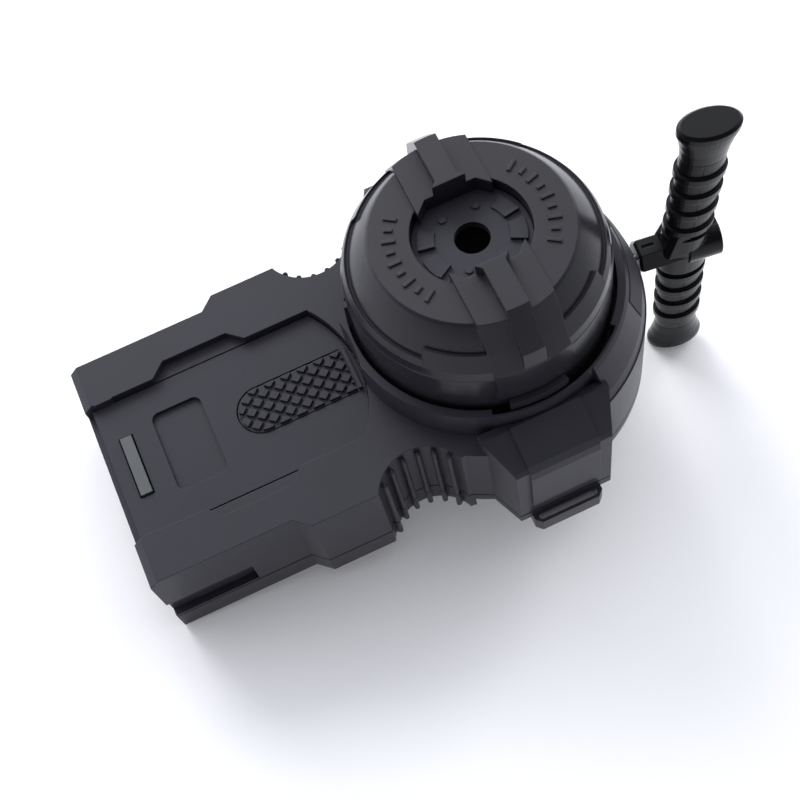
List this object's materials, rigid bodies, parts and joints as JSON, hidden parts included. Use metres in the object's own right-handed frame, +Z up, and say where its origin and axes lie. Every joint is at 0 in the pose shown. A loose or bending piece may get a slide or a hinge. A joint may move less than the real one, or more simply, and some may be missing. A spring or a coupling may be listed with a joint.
{
  "type": "spinning top launcher",
  "caption": "String-pull spinning top launcher: flat grip, round turret with a ribbed selector dial on top, hooked launch head below and a pull handle on a string.",
  "frame": {"origin": "launch axis at the face of the launch head that the spinning top seats on", "axes": "+Z up the launch axis through the selector dial, +X from the launch axis to the pull handle, the grip runs back along -X"},
  "size_m": [0.134, 0.0776, 0.0825],
  "materials": {
    "housing": "black moulded plastic, satin",
    "matte_panel": "black plastic with a fine grain",
    "dial": "black moulded plastic, satin",
    "handle": "black moulded plastic, slightly glossy",
    "grey_plastic": "grey moulded plastic",
    "white_plastic": "natural acetal, inside the housing",
    "steel": "plain steel",
    "brass": "turned brass",
    "string": "braided nylon cord"
  },
  "bodies": {
    "housing": {"upper_housing": "housing", "lower_housing": "housing", "centre_panel": "matte_panel", "thumb_pad": "matte_panel", "label_plate_left": "matte_panel", "label_plate_right": "matte_panel", "detent_spring": "steel", "fork_guide": "steel", "fork_spring": "steel", "latch_spring": "steel", "idler_pins": "steel", "gear_plate": "white_plastic", "gear_plate_screws": "steel", "shaft_bush": "brass", "drum_axle": "steel", "return_spring": "steel", "spring_cup": "housing", "string_guide": "handle", "inner_string": "string", "housing_screws": "steel"},
    "dial": {"selector_dial": "dial", "dial_hub": "matte_panel", "dial_retainer": "white_plastic", "retainer_screws": "steel", "shift_cam": "white_plastic"},
    "latch": {"latch_bar": "grey_plastic"},
    "drum": {"drum_gear": "white_plastic", "string_drum": "white_plastic", "string_winding": "string"},
    "idler": {"idler_gear": "white_plastic"},
    "reverser": {"reverse_gear": "white_plastic"},
    "fork": {"shift_fork": "white_plastic"},
    "head": {"launch_head": "housing", "head_shaft": "steel", "plunger_spring": "steel"},
    "pinion": {"sliding_pinion": "brass"},
    "plunger": {"release_plunger": "grey_plastic"},
    "handle": {"handle_front": "handle", "handle_rear": "handle", "handle_end_caps": "handle", "handle_screw": "steel", "string_knot": "string", "pull_string": "string"}
  },
  "joints": [
    {"name": "dial_turn", "type": "hinge", "parent": "housing", "child": "dial", "pos_m": [0, 0, 0.035], "axis": [0, 0, 1], "range_deg": [0, 30]},
    {"name": "fork_lift", "type": "slide", "parent": "housing", "child": "fork", "axis": [0, 0, 1], "range_m": [0, 0.00235], "deforming": ["fork_spring"]},
    {"name": "pinion_shift", "type": "slide", "parent": "head", "child": "pinion", "axis": [0, 0, 1], "range_m": [0, 0.00235]},
    {"name": "handle_pull", "type": "slide", "parent": "housing", "child": "handle", "axis": [1, 0, 0], "range_m": [0, 0.44427], "stiffness_N_per_m": 3, "springref_m": -0.1, "deforming": ["pull_string"]},
    {"name": "drum_spin", "type": "hinge", "parent": "housing", "child": "drum", "pos_m": [-0.037, 0, 0.012], "axis": [0, 0, 1], "range_deg": [-2600, 10]},
    {"name": "idler_spin", "type": "hinge", "parent": "housing", "child": "idler", "pos_m": [-0.0124, -0.00316, 0.008], "axis": [0, 0, 1], "range_deg": [-10, 5400]},
    {"name": "reverser_spin", "type": "hinge", "parent": "housing", "child": "reverser", "pos_m": [-0.00825, 0.00979, 0.008], "axis": [0, 0, 1], "range_deg": [-7700, 10]},
    {"name": "head_spin", "type": "hinge", "parent": "housing", "child": "head", "pos_m": [0, 0, 0.004], "axis": [0, 0, 1], "range_deg": [-9000, 10]},
    {"name": "plunger_press", "type": "slide", "parent": "head", "child": "plunger", "axis": [0, 0, 1], "range_m": [0, 0.0012], "stiffness_N_per_m": 150, "springref_m": -0.001, "deforming": ["plunger_spring"]},
    {"name": "latch_press", "type": "slide", "parent": "housing", "child": "latch", "axis": [0, 0, -1], "range_m": [0, 0.0012], "stiffness_N_per_m": 150, "springref_m": -0.001, "deforming": ["latch_spring"]}
  ],
  "couplings": [
    {"joint": "fork_lift", "follows": "dial_turn", "m_per_rad": 0.0043927},
    {"joint": "pinion_shift", "follows": "dial_turn", "m_per_rad": 0.0043927},
    {"joint": "drum_spin", "follows": "handle_pull", "rad_per_m": -99},
    {"joint": "idler_spin", "follows": "handle_pull", "rad_per_m": 207.9},
    {"joint": "reverser_spin", "follows": "handle_pull", "rad_per_m": -297},
    {"joint": "head_spin", "follows": "handle_pull", "rad_per_m": -346.5}
  ]
}
